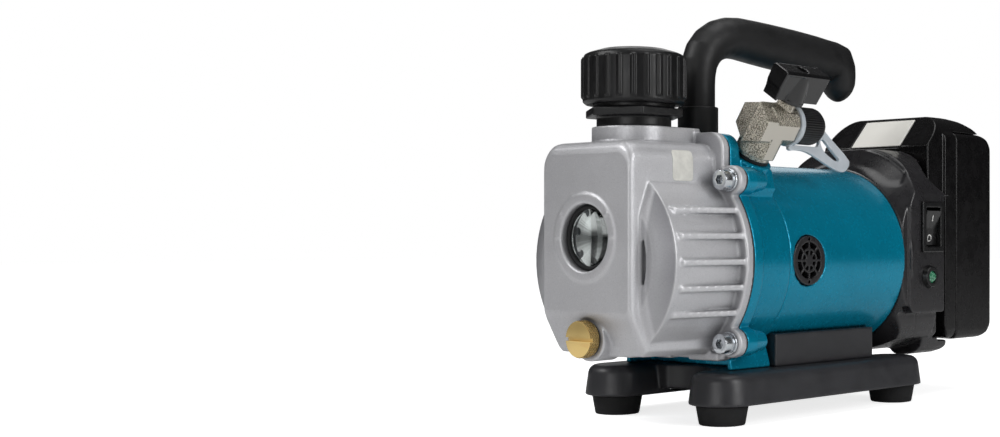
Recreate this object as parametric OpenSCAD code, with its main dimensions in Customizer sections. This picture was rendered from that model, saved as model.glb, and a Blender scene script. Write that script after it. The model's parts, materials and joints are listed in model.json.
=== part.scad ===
// Cordless rotary-vane vacuum pump for refrigeration and air-conditioning service.
// Millimetres. +Z is up, -Y is the front with the sight glass, +Y is the battery end
// and +X is the switch and intake side. The origin is on the floor under the shaft,
// midway between the four feet.

/* [Drive line] */
// Height of the shaft centre line above the floor
axis_h = 71.5; // [71:0.1:72]
// Radius of the motor housing
motor_r = 45.2; // [45:0.1:45.4]
// Wall of the motor housing
motor_wall = 3; // [2.6:0.1:3]
// Rear end of the motor housing
motor_back = 58.4; // [58:0.1:59]
// Joint between crankcase and motor housing
motor_front = -30.1; // [-30.5:0.1:-29.8]
// Radius of the motor shaft
shaft_r = 5; // [4.9:0.05:5]

/* [Oil case] */
// Front face of the oil case
case_front = -113.3; // [-114:0.1:-113]
// Rear face of the oil case flange
case_back = -60.4; // [-60.4:0.1:-60.3]
// Half width of the flat front box at its front face
box_half = 27.7; // [27:0.1:28.2]
// Top of the front box
box_top = 123.3; // [122.5:0.1:124]
// Radius of the round drum at its front edge
drum_r = 44.2; // [44:0.1:45]
// Radius of the case flange
flange_r = 50; // [49.5:0.1:50.5]
// Half width of the upper part of the flange
flange_half = 35.4; // [35:0.1:36]
// Top of the flange
flange_top = 128.5; // [128:0.1:129]
// Spacing of the side ribs
rib_pitch = 11.1; // [10.5:0.1:11.5]
// Thickness of the side ribs
rib_t = 2.6; // [2:0.1:3]
// Sideways offset of the case screws
lug_x = 39.6; // [39.4:0.1:40]
// Offset of the case screws above and below the shaft
lug_z = 35.5; // [35:0.1:36]

/* [Sight glass and drain] */
// Height of the sight glass centre
sight_z = 81.9; // [81:0.1:83]
// Radius of the sight glass hole
sight_r = 14.45; // [14.2:0.05:14.6]
// Height of the drain plug
drain_z = 38.5; // [38.3:0.1:39]
// Radius of the drain plug head
drain_head_r = 7.8; // [7.6:0.1:8.2]

/* [Filler cap] */
// Position of the filler axis along the pump
fill_y = -84.1; // [-84.5:0.1:-83.8]
// Radius of the oil filler cap
cap_r = 23.4; // [22.8:0.1:23.6]
// Number of grip ribs round the cap
cap_ribs = 24; // [20:1:28]

/* [Handle] */
// Position of the handle post along the pump
post_y = -43; // [-43.2:0.1:-42.8]
// Radius of the handle post
post_r = 8; // [7.8:0.1:8.2]
// Half width of the grip
grip_half = 10; // [9:0.5:11]

/* [Intake valve] */
// Lean of the intake valve away from vertical
valve_tilt = 33.5; // [32:0.5:34.5]
// Size across the flats of the hexagonal end
valve_af = 17.2; // [17:0.1:18]
// Length of the butterfly knob
knob_len = 29.5; // [26:0.5:30]

/* [Battery and panel] */
// Half width of the battery
batt_half = 35.6; // [35:0.1:36]
// Rear face of the battery
batt_back = 153; // [152:0.5:154]
// Travel of the battery release button
button_travel = 4; // [3:0.5:4]
// Plane of the control panel
panel_x = 44.6; // [44.2:0.1:45]

/* [Base] */
// Half of the foot spacing across the pump
foot_x = 33.25; // [33:0.25:34]
// Half of the foot spacing along the pump
foot_y = 62.7; // [62:0.1:63.5]
// Radius of the base corners
pad_r = 15; // [14.5:0.1:15]
// Height of the rubber feet
foot_h = 8.8; // [8.5:0.1:9]

/* [Hidden] */
$fn = 96;

clearance = 0.05;                  // gap between fitted parts
gasket_t = 0.8;
crank_front = case_back + gasket_t;
base_top = 23;
crank_screw = [20, -38];           // base screws into the crankcase, X and Y
motor_screw = [24, 35];            // base screws into the motor foot, X and Y
bearing_r = 13;
bearing_len = 8;
front_bearing_y = -45;             // front faces of the two bearings
rear_bearing_y = 51;
seal_r = 9;
seal_back = -54;
inlet_x = 11;                      // inlet passage from crankcase to stator
inlet_r = 2.6;

// Colours shared by several pieces
teal = [0.0, 0.42, 0.5];
black = [0.05, 0.05, 0.05];
knob_black = [0.06, 0.06, 0.06];
shell_black = [0.06, 0.06, 0.065];
soft_black = [0.07, 0.07, 0.07];
steel = [0.7, 0.7, 0.72];
dull_steel = [0.6, 0.6, 0.62];

// ---------- helpers ----------
// Cylinders or cones along each axis
module cyl_x(x0, x1, r, y = 0, z = axis_h, r2 = undef)
  translate([x0, y, z]) rotate([0, 90, 0])
    cylinder(h = x1 - x0, r1 = r, r2 = r2 == undef ? r : r2);
module cyl_y(y0, y1, r, x = 0, z = axis_h, r2 = undef)
  translate([x, y0, z]) rotate([-90, 0, 0])
    cylinder(h = y1 - y0, r1 = r, r2 = r2 == undef ? r : r2);
module cyl_z(z0, z1, r, x = 0, y = 0, r2 = undef)
  translate([x, y, z0]) cylinder(h = z1 - z0, r1 = r, r2 = r2 == undef ? r : r2);
// Flat-ended rings along Y and Z
module ring_y(y0, y1, outer, inner, z = axis_h) difference() {
  cyl_y(y0, y1, outer, z = z);
  cyl_y(y0 - 1, y1 + 1, inner, z = z);
}
module ring_z(z0, z1, outer, inner) difference() {
  cyl_z(z0, z1, outer);
  cyl_z(z0 - 1, z1 + 1, inner);
}
// Profile in Y-Z carried along X
module prism_x(x0, x1)
  translate([x0, 0, 0]) rotate([90, 0, 90]) linear_extrude(x1 - x0) children();
// Profile in X-Z carried along Y
module prism_y(y0, y1)
  translate([0, y1, 0]) rotate([90, 0, 0]) linear_extrude(y1 - y0) children();
// Profile in X-Y carried along Z
module prism_z(z0, z1) translate([0, 0, z0]) linear_extrude(z1 - z0) children();
module round_rect(x0, x1, y0, y1, r) union() {
  translate([x0 + r, y0]) square([x1 - x0 - 2 * r, y1 - y0]);
  translate([x0, y0 + r]) square([x1 - x0, y1 - y0 - 2 * r]);
  for (x = [x0 + r, x1 - r], y = [y0 + r, y1 - r]) translate([x, y]) circle(r);
}
module box(x0, x1, y0, y1, z0, z1)
  translate([x0, y0, z0]) cube([x1 - x0, y1 - y0, z1 - z0]);
// Children together with their mirror image in X
module mirror_x() {
  children();
  mirror([1, 0, 0]) children();
}
// Straight round bar between two points
module rod(start, end, r) {
  span = end - start;
  length = norm(span);
  translate(start) rotate([0, acos(span[2] / length), atan2(span[1], span[0])])
    cylinder(h = length, r = r);
}
// Children turned about an axis along Y
module around_y(y, angles, z = axis_h)
  for (angle = angles) translate([0, y, z]) rotate([0, angle, 0]) children();
// Radial bars round an axis along Y, starting at radius inner; size is radial, Y, thickness
module bars_y(y, angles, inner, size, z = axis_h)
  around_y(y, angles, z) translate([inner, 0, -size[2] / 2]) cube(size);
// Children at four diagonal places on a circle round the shaft
module on_circle(radius) for (angle = [45 : 90 : 315])
  translate([radius * cos(angle), 0, axis_h + radius * sin(angle)]) children();
module at_case_screws() for (s = [-1, 1], t = [-1, 1])
  translate([s * lug_x, 0, axis_h + t * lug_z]) children();
module at_feet() for (s = [-1, 1], t = [-1, 1])
  translate([s * foot_x, t * foot_y, 0]) children();
module at_pair(place) for (s = [-1, 1]) translate([s * place[0], place[1], 0]) children();

// ---------- oil case ----------
flange_front = -64.8;
washer_front = -66;
case_hole_r = 2.75;                // clearance hole for a case screw
drum_front = -102.8;
drum_bottom = 30.8;
chamber_floor = 34.6;
drain_boss_front = -111.2;
drain_boss_r = 9.8;
drain_thread_r = 5;
fill_r = 12;                       // thread of the filler adapter
fill_seat = 130.5;                 // top of the filler platform
platform_r = 18.6;

module flange_2d(inset = 0) intersection() {
  union() {
    translate([0, axis_h]) circle(flange_r - inset);
    for (s = [-1, 1], t = [-1, 1])
      translate([s * lug_x, axis_h + t * lug_z]) circle(6.5 - inset);
    round_rect(-flange_half + inset, flange_half - inset, axis_h + 15, flange_top - inset, 8);
    round_rect(-36 + inset, 36 - inset, 24, axis_h - 15, 5);
  }
  translate([-60, 28.4 + inset]) square([120, 110]);
}

// Sections of the front box, front to back: y, half width, top, top corner radius,
// bottom half width, bottom, height where the bottom chamfer ends
case_stations = [
  [case_front, box_half - 1.3, box_top - 5.6, 7, box_half - 2, 50, 52],
  [case_front + 0.7, box_half - 0.4, box_top - 2.8, 8, box_half - 1.5, 47.8, 50],
  [case_front + 2.4, box_half, box_top - 0.7, 8.5, box_half - 1.5, 44.4, 46.5],
  [case_front + 5.6, box_half + 0.1, box_top, 8.5, box_half - 1.8, 38.4, 41],
  [case_front + 9.6, box_half + 0.3, box_top, 8.5, box_half - 2.5, 31.4, 34],
  [-62, box_half + 3.1, box_top + 0.2, 8.5, box_half - 1, 30.8, 33.5]];
module station(y, half, top, corner_r, bottom_half, bottom, chamfer_z) prism_y(y, y + 0.02) {
  for (s = [-1, 1]) translate([s * (half - corner_r), top - corner_r])
    circle(corner_r, $fn = 32);
  polygon([[-bottom_half, bottom], [bottom_half, bottom], [half, chamfer_z], [-half, chamfer_z]]);
}
module case_box() hull()
  for (s = case_stations) station(s[0], s[1], s[2], s[3], s[4], s[5], s[6]);

// Side rib at a height above the shaft, running out from the drum to the flange
module case_rib(height) {
  drum_x = sqrt(drum_r * drum_r - height * height);
  flange_x = sqrt(flange_r * flange_r - height * height);
  prism_z(axis_h + height - rib_t / 2, axis_h + height + rib_t / 2)
    polygon([[drum_x - 4, -100], [drum_x + 0.5, -100], [drum_x + 1.3, -98.6],
      [flange_x - 0.6, -64], [drum_x - 4, -64]]);
}

module case_solid() {
  case_box();
  // round drum with its two-step front, flat underneath
  intersection() {
    union() {
      cyl_y(drum_front, -62, drum_r, r2 = drum_r + 1.3);
      cyl_y(-107, drum_front, 35.9, r2 = drum_r);
      cyl_y(-107.6, -106, 34.7, r2 = 36.3);
    }
    box(-60, 60, -112, -60, drum_bottom, 130);
  }
  mirror_x() for (k = [-2 : 2]) case_rib(k * rib_pitch);
  prism_y(flange_front, case_back) flange_2d();
  // pads under the flange
  mirror_x() box(16, 34, -66.5, case_back, 27.8, 31.5);
  box(-5, 5, -66.5, case_back, 27.8, 31.5);
  // filler platform
  intersection() {
    union() {
      cyl_z(118, fill_seat, platform_r, y = fill_y);
      box(-platform_r, platform_r, fill_y + 2, -61, 118, fill_seat);
    }
    box(-40, 40, -120, -61, 117, 131);
  }
  // raised ring round the sight glass, with four marks
  cyl_y(case_front - 0.8, case_front + 1, 19, z = sight_z);
  bars_y(case_front - 1.1, [0, -35, -145, -180], 15.6, [3, 1, 0.7], z = sight_z);
  cyl_y(drain_boss_front, -98, drain_boss_r, z = drain_z);
}

// Room inside the case, left solid round the sight glass and the drain boss
module oil_chamber() {
  difference() {
    prism_x(-24, 24) polygon([[-109.3, 51], [-100, chamber_floor], [-59, chamber_floor],
      [-59, 119], [-109.3, 119]]);
    union() {
      cyl_y(-111, -102, 18, z = sight_z);
      cyl_y(-112, -97, drain_boss_r, z = drain_z);
    }
  }
  intersection() {
    cyl_y(-98.6, -59, 41);
    box(-60, 60, -112, -59, chamber_floor, 130);
    difference() {
      box(-60, 60, -112, -59, 20, 130);
      cyl_y(-112, -97, drain_boss_r, z = drain_z);
    }
  }
}

module oil_case() color([0.68, 0.69, 0.70]) difference() {
  case_solid();
  // flat seat in front of the drain boss
  cyl_y(-118, drain_boss_front, 8.9, z = drain_z);
  // crescent recess beside the front box
  mirror_x() intersection() {
    cyl_y(-112, -104.9, 31);
    box(box_half + 0.9, 60, -113, -100, 20, 130);
  }
  oil_chamber();
  // sight glass pocket, window and chamfered rim
  cyl_y(case_front - 2, -104.5, sight_r, z = sight_z);
  cyl_y(-105, -101, 12, z = sight_z);
  cyl_y(case_front - 1.2, case_front + 0.1, sight_r + 1.1, z = sight_z, r2 = sight_r - 0.2);
  // drain, filler and screw holes
  cyl_y(-113, -97, drain_thread_r, z = drain_z);
  cyl_z(112, 132, fill_r + clearance, y = fill_y);
  at_case_screws() cyl_y(-67, -59, case_hole_r, z = 0);
}
module cover_gasket() color([0.16, 0.15, 0.14]) difference() {
  prism_y(case_back, crank_front) flange_2d(0.4);
  cyl_y(case_back - 1, crank_front + 1, 41.2);
  at_case_screws() cyl_y(case_back - 1, crank_front + 1, case_hole_r, z = 0);
}
module case_bolts() color([0.75, 0.76, 0.78]) at_case_screws() difference() {
  union() {
    cyl_y(-71.1, washer_front, 4.35, z = 0);
    cyl_y(-71.4, -71.1, 4.0, z = 0, r2 = 4.35);
    cyl_y(washer_front, -47, 2.45, z = 0);
  }
  cyl_y(-72, -68.6, 2.3, z = 0, $fn = 6);
}
module bolt_washers() color([0.62, 0.63, 0.65])
  at_case_screws() ring_y(washer_front, flange_front, 5.1, 2.65, z = 0);

// ---------- sight glass and drain ----------
lens_front = -109.2;
reflector_step = -104.6;
drain_head_back = -112.1;

module sight_lens() color([0.85, 0.9, 0.9]) {
  cyl_y(lens_front, -106.2, sight_r - 0.1, z = sight_z);
  cyl_y(-110.4, lens_front, 11.6, z = sight_z, r2 = 12);
}
module sight_oring() color(black) translate([0, -110.3, sight_z]) rotate([-90, 0, 0])
  rotate_extrude() translate([sight_r - 1.15, 0]) circle(1.05);
module sight_reflector() color([0.8, 0.8, 0.82]) difference() {
  union() {
    cyl_y(-106.1, reflector_step, 13.9, z = sight_z);
    cyl_y(reflector_step, -102.6, 11.9, z = sight_z);
  }
  // shallow turned cone and edge notches
  cyl_y(-106.2, -104.0, 12.6, z = sight_z, r2 = 1.2);
  around_y(-107, [12 : 45 : 327], z = sight_z) cyl_y(0, 6, 1.9, x = 12.9, z = 0);
}
module drain_plug() color([0.79, 0.62, 0.25]) difference() {
  union() {
    cyl_y(-117.2, drain_head_back, drain_head_r, z = drain_z);
    cyl_y(drain_head_back, -101, drain_thread_r - clearance, z = drain_z);
    // knurled rim
    bars_y(-116.6, [0 : 9 : 351], drain_head_r - 0.25, [0.5, 3.9, 0.7], z = drain_z);
  }
  // screwdriver slot
  box(-9, 9, -118, -115.6, drain_z - 0.75, drain_z + 0.75);
}
module drain_washer() color([0.1, 0.1, 0.1])
  ring_y(drain_head_back, drain_boss_front, 7.4, drain_thread_r + clearance, z = drain_z);

// ---------- filler cap ----------
cap_bore_top = 158;
seal_bottom = 156;                 // cap seal, on top of the adapter
adapter_r = 18;

// Half section of the cap: radius, height
cap_profile = [[0, 140.4], [cap_r - 2, 140.4], [cap_r - 0.8, 141.6], [cap_r - 0.8, 160.6],
  [cap_r - 1.6, 162.4], [cap_r - 3.2, 163.2], [cap_r * 0.62, 164.9], [cap_r * 0.3, 165.6],
  [0, 165.8]];
module filler_cap() color([0.07, 0.07, 0.075]) translate([0, fill_y, 0]) difference() {
  union() {
    rotate_extrude() polygon(cap_profile);
    for (i = [0 : cap_ribs - 1]) rotate(i * 360 / cap_ribs)
      translate([cap_r - 1.4, -0.9, 143.2]) cube([1.4, 1.8, 17.6]);
  }
  cyl_z(139, cap_bore_top, adapter_r + 0.1);
}
module cap_seal() color([0.12, 0.12, 0.12]) translate([0, fill_y, 0])
  ring_z(seal_bottom, cap_bore_top, adapter_r - 0.1, 13.5);
module filler_adapter() color([0.08, 0.08, 0.085]) translate([0, fill_y, 0]) difference() {
  union() {
    cyl_z(119.5, fill_seat, fill_r);
    cyl_z(fill_seat, 135.1, 16.5);
    rotate(25) cyl_z(134.9, 138.5, 23, $fn = 6);
    cyl_z(138.4, seal_bottom, adapter_r);
  }
  cyl_z(119, 151, 9.5);
  cyl_z(150, 157, 14);
}
module mist_filter() color([0.85, 0.83, 0.75]) translate([0, fill_y, 0]) difference() {
  cyl_z(122, 149.5, 9.45);
  cyl_z(121, 145, 4);
}

// ---------- handle ----------
post_bottom = 126;                 // top of the crankcase boss
collar_top = 142.2;
stud_hole_r = 3;

// Centre line stations from the post over the grip to its rear tip: y, z, outer half
// thickness, half width and, where it differs, inner half thickness
handle_stations = [
  [post_y, post_bottom, post_r, post_r],
  [post_y, collar_top, post_r, post_r],
  [post_y, 152, post_r, post_r],
  [post_y + 0.1, 157, post_r + 0.1, post_r + 0.1],
  [post_y + 0.9, 162.5, post_r + 0.5, post_r + 0.4],
  [post_y + 3.4, 167.6, post_r + 0.9, post_r + 0.8],
  [post_y + 7.6, 171.8, post_r + 1.2, grip_half - 0.9],
  [post_y + 13, 174.7, post_r + 1.5, grip_half - 0.5],
  [post_y + 19, 176.3, post_r + 1.7, grip_half - 0.2],
  [post_y + 26, 176.7, post_r + 2, grip_half],
  [post_y + 36, 176.1, post_r + 2.4, grip_half + 0.2],
  [post_y + 50, 175.2, post_r + 2.8, grip_half + 0.4],
  [post_y + 66, 174.2, post_r + 3, grip_half + 0.5],
  [post_y + 82, 173.1, post_r + 3, grip_half + 0.5],
  [post_y + 92, 172.2, post_r + 2.9, grip_half + 0.4],
  [post_y + 97, 171.4, post_r + 3.6, grip_half + 0.3, post_r + 2.4],
  [post_y + 101, 169.6, post_r + 5.8, grip_half + 0.1, post_r + 1.4],
  [post_y + 103.4, 166.6, post_r + 3.6, grip_half, post_r + 0.8],
  [post_y + 104.6, 163.4, post_r + 1.7, grip_half - 0.5, post_r + 0.6],
  [post_y + 105, 160.4, post_r + 0.9, grip_half - 1.1, post_r + 0.2],
  [post_y + 104.9, 157, post_r - 0.7, grip_half - 2.4],
  [post_y + 104.8, 154.2, post_r - 3.1, grip_half - 4.6],
  [post_y + 104.7, 152.4, post_r - 5.6, grip_half - 7.2],
  [post_y + 104.7, 151.8, post_r - 7.4, grip_half - 9.2]];
handle_sides = 28;
last_station = len(handle_stations) - 1;

// Direction of the centre line at a station, in Y and Z
function tangent(i) =
  let (before = handle_stations[max(i - 1, 0)],
    after = handle_stations[min(i + 1, last_station)],
    step = [after[0] - before[0], after[1] - before[1]])
  step / norm(step);
// Point j of the oval round station i, square to the centre line
function handle_point(i, j) =
  let (row = handle_stations[i], along = tangent(i), angle = 360 * j / handle_sides,
    inner = cos(angle) < 0 && len(row) > 4,
    depth = (inner ? row[4] : row[2]) * cos(angle))
  [row[3] * sin(angle), row[0] - along[1] * depth, row[1] + along[0] * depth];
function handle_index(i, j) = i * handle_sides + j % handle_sides;
handle_faces = concat(
  [[for (j = [0 : handle_sides - 1]) j]],
  [[for (j = [handle_sides - 1 : -1 : 0]) handle_index(last_station, j)]],
  [for (i = [0 : last_station - 1], j = [0 : handle_sides - 1])
    [handle_index(i, j), handle_index(i + 1, j), handle_index(i + 1, j + 1)]],
  [for (i = [0 : last_station - 1], j = [0 : handle_sides - 1])
    [handle_index(i, j), handle_index(i + 1, j + 1), handle_index(i, j + 1)]]);
module handle() color(shell_black) difference() {
  polyhedron([for (i = [0 : last_station], j = [0 : handle_sides - 1]) handle_point(i, j)],
    handle_faces, convexity = 6);
  cyl_z(120, 150, stud_hole_r, y = post_y);
  // shallow mark on the +X side of the grip
  cyl_x(grip_half - 0.1, grip_half + 4, 3, y = 54.5, z = 173.8);
}
module handle_collar() color(soft_black) translate([0, post_y, 0])
  ring_z(post_bottom, collar_top, 9.4, post_r + clearance);
module handle_stud() color(dull_steel)
  cyl_z(107, 149, stud_hole_r - clearance, y = post_y);

// ---------- crankcase ----------
valve_base = [33.3, -43, 117.8];   // centre of the intake valve seat
spigot_r = 6;                      // valve spigot in the intake boss
tapped_r = 2.5;                    // tapped holes for case and base screws

// Valve frame: local Z is the leaning valve axis, local Y the port axis
module valve_frame() translate(valve_base) rotate([0, valve_tilt, 0]) children();

module crankcase_solid() {
  prism_y(crank_front, -53) flange_2d(0.3);
  cyl_y(-53.5, motor_front, motor_r + 0.4);
  at_case_screws() cyl_y(-53.5, -44, 6.2, z = 0, r2 = 4.2);
  // handle boss and its webs
  cyl_z(100, post_bottom, 11.5, y = post_y);
  box(-9, 9, crank_front + 1, post_y, 101, 125.5);
  prism_y(crank_front, -38) polygon([[-27, 100], [27, 100], [20, 121], [-20, 121]]);
  // intake boss and the block under it
  valve_frame() cyl_z(-24, 0, 9.6);
  prism_y(-54, motor_front - 1.5) polygon([[14, 100], [33, 96], [38, 104], [35.5, 112.6],
    [26, 118.5], [16, 120]]);
  // feet
  prism_y(-57, motor_front) polygon([[-33.5, base_top], [33.5, base_top], [33, 26], [31, 32],
    [30.5, 46], [-30.5, 46], [-31, 32], [-33, 26]]);
}
module crankcase() color(teal) difference() {
  crankcase_solid();
  // fan chamber behind the web, round the bearing hub
  difference() {
    cyl_y(-50, motor_front + 1, 41);
    cyl_y(-51, -37, 17);
    box(-12, 12, -52, -31.5, 97, 130);
    box(14, 45, -52, -31, 96, 130);
  }
  // open front underside
  box(-31, 31, -58, -42, base_top - 1, 29);
  // bearing seat, shaft hole and seal seat
  cyl_y(front_bearing_y, -36, bearing_r);
  cyl_y(-60, -36, 5.6);
  cyl_y(-60, seal_back, seal_r);
  // intake passage
  valve_frame() cyl_z(-15, 1, spigot_r + clearance);
  rod(valve_base - 14 * [sin(valve_tilt), 0, cos(valve_tilt)], [inlet_x, -61, 88], inlet_r);
  // tapped holes
  at_case_screws() cyl_y(-61, -46, tapped_r, z = 0);
  cyl_z(106, 128, stud_hole_r, y = post_y);
  at_pair(crank_screw) cyl_z(20, 34.5, tapped_r);
  on_circle(pump_screw_circle) cyl_y(-61, -54, 2, z = 0);
}

// ---------- intake valve, all in the valve frame ----------
port_h = 18;                       // port axis above the seat
stem_y = 5.6;                      // stem axis behind the seat axis
seat_r = 7.6;
seal_washer_t = 1.5;
ball_r = 6;
stem_r = 2.5;
stem_bottom = port_h + 4.4;
stem_top = 39.3;
neck_r = 5.55;                     // port neck
neck_end = 23;
cap_bore_end = 24.6;
stub_hole_r = 2.2;                 // strap holes over the cap stub

module intake_valve_body() color([0.72, 0.7, 0.66]) valve_frame() difference() {
  union() {
    // seat end, round with a thin flange
    cyl_z(seal_washer_t, 4, seat_r);
    cyl_z(3.5, port_h, 9.2);
    cyl_z(-13, 2, spigot_r);
    // hexagonal end, barrel and port neck
    translate([0, -12, port_h]) rotate([-90, 0, 0]) rotate(30)
      cylinder(h = 8, r = valve_af / sqrt(3), $fn = 6);
    cyl_y(-5, 11.5, 9.3, z = port_h);
    cyl_y(11, neck_end, neck_r, z = port_h);
    // bonnet round the stem
    cyl_z(20, 26, 5.9, y = stem_y, r2 = 5.6);
    cyl_z(25.8, 29.9, 4.5, y = stem_y, r2 = 4.1);
  }
  // machined side flats
  box(valve_af / 2, 14, -14, 13, 0, 30);
  box(-14, -valve_af / 2, -14, 13, 0, 30);
  // ports, ball chamber and stem hole
  cyl_y(0, 24, 3.2, z = port_h);
  cyl_z(-14, port_h, 3.2);
  translate([0, stem_y, port_h]) sphere(r = ball_r + clearance);
  cyl_z(port_h + 4, port_h + 20, stem_r + clearance, y = stem_y);
}
module valve_seal_washer() color(black) valve_frame()
  ring_z(0, seal_washer_t, seat_r, spigot_r + clearance);
module valve_ball() color([0.8, 0.8, 0.82]) valve_frame() translate([0, stem_y, 0])
  difference() {
    translate([0, 0, port_h]) sphere(r = ball_r);
    cyl_y(-8, 8, 3, z = port_h);
    cyl_z(stem_bottom, stem_bottom + 4, stem_r);
  }
module valve_stem() color([0.7, 0.7, 0.7]) valve_frame()
  cyl_z(stem_bottom, stem_top, stem_r, y = stem_y);
module knob_wings() difference() {
  prism_y(-knob_len / 2, knob_len / 2) polygon([[-4.2, 31.3], [4.2, 31.3], [4.9, 44.5],
    [3.9, 45.7], [-3.9, 45.7], [-4.9, 44.5]]);
  // hollows in the sides of the front wing, and its dished end
  mirror_x() prism_y(1.9 - knob_len / 2, 0)
    polygon([[3.1, 30], [3.7, 43.6], [7, 43.6], [7, 30]]);
  cyl_x(-8, 8, 14, y = -knob_len / 2 - 13.2, z = 33);
}
module valve_knob() color(knob_black) valve_frame() translate([0, stem_y, 0]) difference() {
  union() {
    cyl_z(30.2, 31.8, 6.7, r2 = 6.9);
    cyl_z(31.7, 45.1, 6.7, r2 = 4.4);
    knob_wings();
  }
  cyl_z(27, stem_top, stem_r);
  // recess on top
  cyl_z(43.7, 50.7, 2.8);
}
module port_cap() color(knob_black) valve_frame() difference() {
  union() {
    cyl_y(14.7, 29.4, 8.3, z = port_h);
    cyl_y(29.4, 31.8, 8.3, z = port_h, r2 = 6.9);
    cyl_y(31.8, 33.2, 6.9, z = port_h, r2 = 4.6);
    // stub for the strap
    cyl_y(33.2, 35.4, 2, z = port_h);
    bars_y(15.4, [0 : 7.5 : 352.5], 7.6, [0.95, 13.3, 0.58], z = port_h);
  }
  cyl_y(14, cap_bore_end, neck_r + clearance, z = port_h);
}
module port_seal() color([0.2, 0.2, 0.2]) valve_frame()
  ring_y(neck_end, cap_bore_end, 5.5, 2, z = port_h);

// Strap: a ring round the port neck and a flat loop back to the stub on the cap
strap_x = 44.2;                    // middle plane of the loop
// Outline of the loop: y, z
strap_outline = [[-31.2, 120.9], [-26, 121.5], [-20, 121.2], [-14, 119.6], [-8, 117.2],
  [-2, 114.9], [3.5, 113.1], [9.8, 112.2], [14.3, 117.1], [10, 120.8], [5, 124.1],
  [0, 127.3], [-4.6, 130.6], [-7.2, 132.8], [-9.5, 133.4], [-9.5, 129], [-9.3, 125.4],
  [-10.6, 123.5], [-18, 123.6], [-31.2, 123.8]];
// Slot inside the loop: y, z
strap_slot = [[-9.2, 126.3], [-6.2, 127.3], [-2.6, 124.3], [1.4, 121.4], [6.6, 117.5],
  [2.4, 117.5], [-2.4, 119.7], [-6.4, 121.9]];
// Closed outline with every corner cut off a quarter of the way along its sides
function rounder(points) = [for (i = [0 : len(points) - 1])
  let (here = points[i], next = points[(i + 1) % len(points)])
  each [here * 0.75 + next * 0.25, here * 0.25 + next * 0.75]];
module stub_hole() valve_frame() cyl_y(32, 37, stub_hole_r, z = port_h);
module cap_strap() color([0.78, 0.82, 0.85]) union() {
  valve_frame() ring_y(12, 14.5, 9.8, neck_r + 0.1, z = port_h);
  difference() {
    prism_x(strap_x - 1, strap_x + 1) polygon(rounder(strap_outline));
    prism_x(strap_x - 2, strap_x + 2) polygon(rounder(rounder(strap_slot)));
    stub_hole();
  }
  // eye on the cap stub
  difference() {
    valve_frame() cyl_y(33.4, 35.2, 4.4, z = port_h);
    stub_hole();
  }
}

// ---------- motor ----------
motor_inner_r = motor_r - motor_wall;
vent_y = -16.3;
vent_r = 11.3;
brush_y = [38, 45];                // front and rear of the brushes
brush_half = 3;

module motor_housing() color(teal) difference() {
  ring_y(motor_front, motor_back, motor_r, motor_inner_r);
  cyl_x(30, 50, vent_r + clearance, y = vent_y);
}
module vent_grille() color(black) difference() {
  cyl_x(42.2, 45, vent_r, y = vent_y);
  difference() {
    cyl_x(40, 47, 8.4, y = vent_y);
    // rings and spokes of the grille
    for (r = [2.2, 5.2]) difference() {
      cyl_x(39, 48, r + 0.5, y = vent_y);
      cyl_x(38, 49, r - 0.5, y = vent_y);
    }
    for (angle = [0 : 45 : 135])
      translate([43, vent_y, axis_h]) rotate([angle, 0, 0]) cube([12, 18, 1], center = true);
  }
  for (s = [-1, 1]) cyl_x(40, 47, 0.8, y = vent_y, z = axis_h + s * 9.8);
}
module motor_foot() color(soft_black) difference() {
  box(-35, 35, -28.5, 45, base_top, 38);
  cyl_y(-29, 46, motor_r);
  at_pair(motor_screw) cyl_z(20, 31.5, tapped_r);
  // hollows underneath
  box(-18, 18, -24, 28, base_top - 1, 26.2);
  mirror_x() box(20, 31, -24, 26, base_top - 1, 30);
}
module field_magnets() color([0.25, 0.25, 0.27]) intersection() {
  ring_y(-16, 34, motor_inner_r, 31);
  // upper and lower sectors
  union() for (s = [1, -1]) prism_y(-16, 34)
    polygon([[0, axis_h + s * 8], [60, axis_h + s * 34], [60, axis_h + s * 60],
      [-60, axis_h + s * 60], [-60, axis_h + s * 34]]);
}
module armature() color([0.55, 0.3, 0.15]) difference() {
  union() {
    cyl_y(-10, 28, 30);
    cyl_y(-14, 33, 24);
  }
  cyl_y(-20, 40, shaft_r);
  bars_y(-11, [0 : 30 : 330], 25.5, [8, 40, 2.4]);
}
module motor_shaft() color([0.75, 0.75, 0.77]) cyl_y(-87, 61, shaft_r);
module commutator() color([0.75, 0.45, 0.2]) difference() {
  ring_y(36, 47, 11, shaft_r);
  bars_y(35, [0 : 30 : 330], 10.2, [2, 13, 0.6]);
}
module brushes() color([0.15, 0.15, 0.16]) mirror_x()
  box(11.1, 22, brush_y[0], brush_y[1], axis_h - brush_half, axis_h + brush_half);
// Ball bearing with a groove in each face
module bearing(front) difference() {
  ring_y(front, front + bearing_len, bearing_r, shaft_r + clearance);
  for (y = [front - 1, front + bearing_len - 0.7]) ring_y(y, y + 1.7, 10.6, 7.6);
}
module front_bearing() color(steel) bearing(front_bearing_y);
module rear_bearing() color(steel) bearing(rear_bearing_y);
module cooling_fan() color([0.2, 0.2, 0.2]) difference() {
  union() {
    cyl_y(-29, -18, 9);
    cyl_y(-20, -18, 37);
    bars_y(-29, [0 : 40 : 320], 7, [29, 10, 1.6]);
  }
  cyl_y(-30, -17, shaft_r);
}
module motor_end_bell() color([0.12, 0.12, 0.12]) difference() {
  union() {
    cyl_y(50, 55, motor_inner_r);
    cyl_y(50, 60.5, 16);
    // brush boxes
    mirror_x() box(13.5, 34, 36.5, 50.5, axis_h - 5, axis_h + 5);
  }
  cyl_y(49, rear_bearing_y + bearing_len, bearing_r);
  cyl_y(58, 62, 5.6);
  mirror_x() box(12, 30, brush_y[0], brush_y[1], axis_h - brush_half, axis_h + brush_half);
  on_circle(28) cyl_y(49, 56, 7, z = 0);
}
module shaft_seal() color([0.3, 0.1, 0.08])
  ring_y(crank_front, seal_back, seal_r, shaft_r + clearance);

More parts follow.
